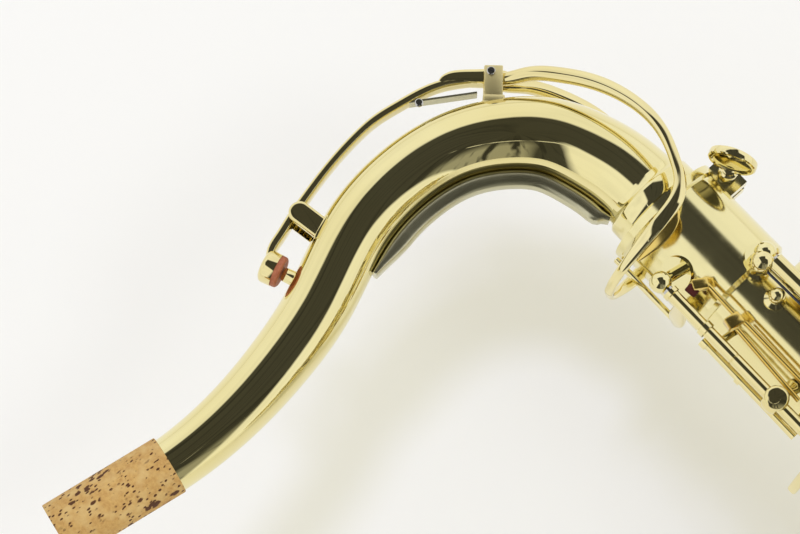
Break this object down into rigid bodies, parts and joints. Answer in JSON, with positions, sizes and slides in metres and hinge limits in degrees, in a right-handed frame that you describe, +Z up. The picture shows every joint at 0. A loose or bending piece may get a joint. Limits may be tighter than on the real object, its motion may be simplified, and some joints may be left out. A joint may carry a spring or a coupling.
{
  "type": "tenor saxophone",
  "caption": "Conical brass body tube, bow and flared bell with padded keys on hinge rods and a curved swivelling neck with cork end and rocking octave key.",
  "frame": {"origin": "centre of the strap ring's eye at the back of the body tube", "axes": "+Z up along the body tube towards the neck, +X from the body tube towards the bell, +Y towards the player's left"},
  "size_m": [0.3847, 0.1584, 0.8498],
  "materials": {
    "body_brass": "polished, clear lacquer",
    "neck_brass": "polished, clear lacquer",
    "key_brass": "polished, clear lacquer",
    "fitting_brass": "polished, clear lacquer",
    "cork": "natural cork, pitted",
    "pad_leather": "smooth tanned leather",
    "felt": "dense felt",
    "thumb_rest": "gloss",
    "rod_steel": "polished steel",
    "spring_steel": "blued spring steel"
  },
  "bodies": {
    "body": {"body_tube": "body_brass", "bow": "body_brass", "bell": "body_brass", "tone_hole_chimneys": "body_brass", "bell_chimneys": "body_brass", "body_bow_band": "body_brass", "bow_bell_band": "body_brass", "neck_receiver": "body_brass", "thumb_rest": "thumb_rest", "key_posts": "body_brass", "hinge_rods": "rod_steel", "needle_springs": "spring_steel", "strap_ring": "body_brass", "thumb_hook_plate": "fitting_brass", "bell_brace": "body_brass", "bell_key_guards": "body_brass", "guard_felts": "felt"},
    "neck": {"neck_tube": "neck_brass", "neck_cork": "cork", "neck_collar": "neck_brass", "neck_tenon": "neck_brass", "neck_brace": "neck_brass", "octave_vent_nipple": "neck_brass", "octave_saddle": "neck_brass", "octave_pivot_screw": "rod_steel", "octave_guide": "neck_brass"},
    "octave_key": {"octave_key": "key_brass", "octave_pad": "pad_leather", "octave_spring": "spring_steel"},
    "neck_clamp_screw": {"neck_clamp_screw": "fitting_brass"},
    "octave_linkage": {"octave_linkage": "key_brass"},
    "octave_thumb_lever": {"octave_thumb_lever": "key_brass"},
    "thumb_hook": {"thumb_hook": "fitting_brass"},
    "c_key": {"c_key": "key_brass"},
    "b_key": {"b_key": "key_brass"},
    "bis_key": {"bis_key": "key_brass"},
    "a_key": {"a_key": "key_brass"},
    "g_key": {"g_key": "key_brass"},
    "fs_key": {"fs_key": "key_brass"},
    "f_key": {"f_key": "key_brass"},
    "e_key": {"e_key": "key_brass"},
    "d_key": {"d_key": "key_brass"},
    "palm_f_key": {"palm_f_key": "key_brass"},
    "palm_eb_key": {"palm_eb_key": "key_brass"},
    "palm_d_key": {"palm_d_key": "key_brass"},
    "gs_key": {"gs_key": "key_brass"},
    "high_e_key": {"high_e_key": "key_brass"},
    "side_c_key": {"side_c_key": "key_brass"},
    "side_bb_key": {"side_bb_key": "key_brass"},
    "front_f_key": {"front_f_key": "key_brass"},
    "low_eb_key": {"low_eb_key": "key_brass"},
    "low_bb_key": {"low_bb_key": "key_brass"},
    "low_b_key": {"low_b_key": "key_brass"},
    "low_cs_key": {"low_cs_key": "key_brass"},
    "low_c_key": {"low_c_key": "key_brass"}
  },
  "joints": [
    {"name": "neck_swivel", "type": "hinge", "parent": "body", "child": "neck", "pos_m": [0.03601, 0, 0.27], "axis": [0, 0, 1], "range_deg": [-25, 5]},
    {"name": "neck_clamp_screw_turn", "type": "hinge", "parent": "body", "child": "neck_clamp_screw", "pos_m": [0.05531, 0, 0.2645], "axis": [0, -1, 0], "range_deg": [-180, 180]},
    {"name": "octave_key_rock", "type": "hinge", "parent": "neck", "child": "octave_key", "pos_m": [0.02868, 0, 0.33231], "axis": [0, 1, 0], "range_deg": [0, 3], "stiffness_Nm_per_rad": 0.6, "springref_deg": -6.88},
    {"name": "octave_linkage_turn", "type": "hinge", "parent": "body", "child": "octave_linkage", "pos_m": [0.01624, -0.0178, 0.21798], "axis": [0, 0, 1], "range_deg": [0, 10.5]},
    {"name": "octave_thumb_lever_rock", "type": "hinge", "parent": "body", "child": "octave_thumb_lever", "pos_m": [0.01282, 0.01265, 0.1238], "axis": [0, -1, 0], "range_deg": [0, 2]},
    {"name": "thumb_hook_slide", "type": "slide", "parent": "body", "child": "thumb_hook", "axis": [0, 0, 1], "range_m": [-0.006, 0.006]},
    {"name": "c_key_hinge", "type": "hinge", "parent": "body", "child": "c_key", "pos_m": [0.03551, -0.03334, 0.15384], "axis": [-0.015, 0.0207, 0.9997], "range_deg": [0, 11], "stiffness_Nm_per_rad": 0.15, "springref_deg": -17.19},
    {"name": "b_key_hinge", "type": "hinge", "parent": "body", "child": "b_key", "pos_m": [0.03586, -0.03382, 0.13056], "axis": [-0.015, 0.0207, 0.9997], "range_deg": [0, 11], "stiffness_Nm_per_rad": 0.15, "springref_deg": -17.19},
    {"name": "bis_key_hinge", "type": "hinge", "parent": "body", "child": "bis_key", "pos_m": [0.03623, -0.03433, 0.10592], "axis": [-0.015, 0.0207, 0.9997], "range_deg": [0, 11], "stiffness_Nm_per_rad": 0.15, "springref_deg": -17.19},
    {"name": "a_key_hinge", "type": "hinge", "parent": "body", "child": "a_key", "pos_m": [0.03664, -0.03489, 0.07873], "axis": [-0.015, 0.0207, 0.9997], "range_deg": [0, 11], "stiffness_Nm_per_rad": 0.15, "springref_deg": -17.19},
    {"name": "g_key_hinge", "type": "hinge", "parent": "body", "child": "g_key", "pos_m": [0.0371, -0.03553, 0.04787], "axis": [-0.015, 0.0207, 0.9997], "range_deg": [0, 11], "stiffness_Nm_per_rad": 0.15, "springref_deg": -17.19},
    {"name": "fs_key_hinge", "type": "hinge", "parent": "body", "child": "fs_key", "pos_m": [0.03263, -0.04128, -0.03123], "axis": [-0.015, 0.0207, 0.9997], "range_deg": [0, 10], "stiffness_Nm_per_rad": 0.15, "springref_deg": -17.19},
    {"name": "f_key_hinge", "type": "hinge", "parent": "body", "child": "f_key", "pos_m": [0.03323, -0.04211, -0.07116], "axis": [-0.015, 0.0207, 0.9997], "range_deg": [0, 10], "stiffness_Nm_per_rad": 0.15, "springref_deg": -17.19},
    {"name": "e_key_hinge", "type": "hinge", "parent": "body", "child": "e_key", "pos_m": [0.03389, -0.04301, -0.11484], "axis": [-0.015, 0.0207, 0.9997], "range_deg": [0, 10], "stiffness_Nm_per_rad": 0.15, "springref_deg": -17.19},
    {"name": "d_key_hinge", "type": "hinge", "parent": "body", "child": "d_key", "pos_m": [0.03457, -0.04396, -0.1605], "axis": [-0.015, 0.0207, 0.9997], "range_deg": [0, 10], "stiffness_Nm_per_rad": 0.15, "springref_deg": -17.19},
    {"name": "palm_f_key_hinge", "type": "hinge", "parent": "body", "child": "palm_f_key", "pos_m": [0.04385, 0.02755, 0.20908], "axis": [-0.0178, -0.0184, 0.9997], "range_deg": [0, 9], "stiffness_Nm_per_rad": 0.15, "springref_deg": -17.19},
    {"name": "palm_eb_key_hinge", "type": "hinge", "parent": "body", "child": "palm_eb_key", "pos_m": [0.02931, 0.02894, 0.16217], "axis": [-0.0062, -0.0248, 0.9997], "range_deg": [0, 9], "stiffness_Nm_per_rad": 0.15, "springref_deg": -17.19},
    {"name": "palm_d_key_hinge", "type": "hinge", "parent": "body", "child": "palm_d_key", "pos_m": [0.04341, 0.02983, 0.11731], "axis": [-0.0164, -0.0196, 0.9997], "range_deg": [0, 9], "stiffness_Nm_per_rad": 0.15, "springref_deg": -17.19},
    {"name": "gs_key_hinge", "type": "hinge", "parent": "body", "child": "gs_key", "pos_m": [0.04208, 0.03513, 0.01738], "axis": [-0.0171, -0.019, 0.9997], "range_deg": [0, 9], "stiffness_Nm_per_rad": 0.15, "springref_deg": -17.19},
    {"name": "high_e_key_hinge", "type": "hinge", "parent": "body", "child": "high_e_key", "pos_m": [0.0271, -0.03224, 0.07074], "axis": [0.0184, 0.0178, 0.9997], "range_deg": [0, 8], "stiffness_Nm_per_rad": 0.15, "springref_deg": -17.19},
    {"name": "side_c_key_hinge", "type": "hinge", "parent": "body", "child": "side_c_key", "pos_m": [0.01902, -0.02944, 0.04593], "axis": [0.0222, 0.0128, 0.9997], "range_deg": [0, 8], "stiffness_Nm_per_rad": 0.15, "springref_deg": -17.19},
    {"name": "side_bb_key_hinge", "type": "hinge", "parent": "body", "child": "side_bb_key", "pos_m": [0.01122, -0.02424, 0.01534], "axis": [0.0247, 0.0066, 0.9997], "range_deg": [0, 8], "stiffness_Nm_per_rad": 0.15, "springref_deg": -17.19},
    {"name": "front_f_key_hinge", "type": "hinge", "parent": "body", "child": "front_f_key", "pos_m": [0.04328, -0.02001, 0.20622], "axis": [0.0256, 0.0009, -0.9997], "range_deg": [0, 9], "stiffness_Nm_per_rad": 0.15, "springref_deg": -17.19},
    {"name": "low_eb_key_hinge", "type": "hinge", "parent": "body", "child": "low_eb_key", "pos_m": [0.00672, -0.03641, -0.26575], "axis": [-0.0009, -0.0256, -0.9997], "range_deg": [0, 7], "stiffness_Nm_per_rad": 0.5, "springref_deg": -17.19},
    {"name": "low_bb_key_hinge", "type": "hinge", "parent": "body", "child": "low_bb_key", "pos_m": [0.06709, 0.036, -0.1567], "axis": [0, 0, -1], "range_deg": [0, 5], "stiffness_Nm_per_rad": 0.5, "springref_deg": -17.19},
    {"name": "low_b_key_hinge", "type": "hinge", "parent": "body", "child": "low_b_key", "pos_m": [0.05599, 0.036, -0.1771], "axis": [0, 0, -1], "range_deg": [0, 5], "stiffness_Nm_per_rad": 0.5, "springref_deg": -17.19},
    {"name": "low_cs_key_hinge", "type": "hinge", "parent": "body", "child": "low_cs_key", "pos_m": [0.04489, 0.036, -0.20328], "axis": [0, 0, 1], "range_deg": [0, 5], "stiffness_Nm_per_rad": 0.5, "springref_deg": -17.19},
    {"name": "low_c_key_hinge", "type": "hinge", "parent": "body", "child": "low_c_key", "pos_m": [0.01986, -0.0435, -0.38469], "axis": [0, 0, 1], "range_deg": [0, 6], "stiffness_Nm_per_rad": 0.5, "springref_deg": -17.19}
  ],
  "couplings": [
    {"joint": "octave_linkage_turn", "follows": "octave_key_rock", "ratio": 3.5},
    {"joint": "octave_thumb_lever_rock", "follows": "octave_key_rock", "ratio": 0.6666}
  ]
}
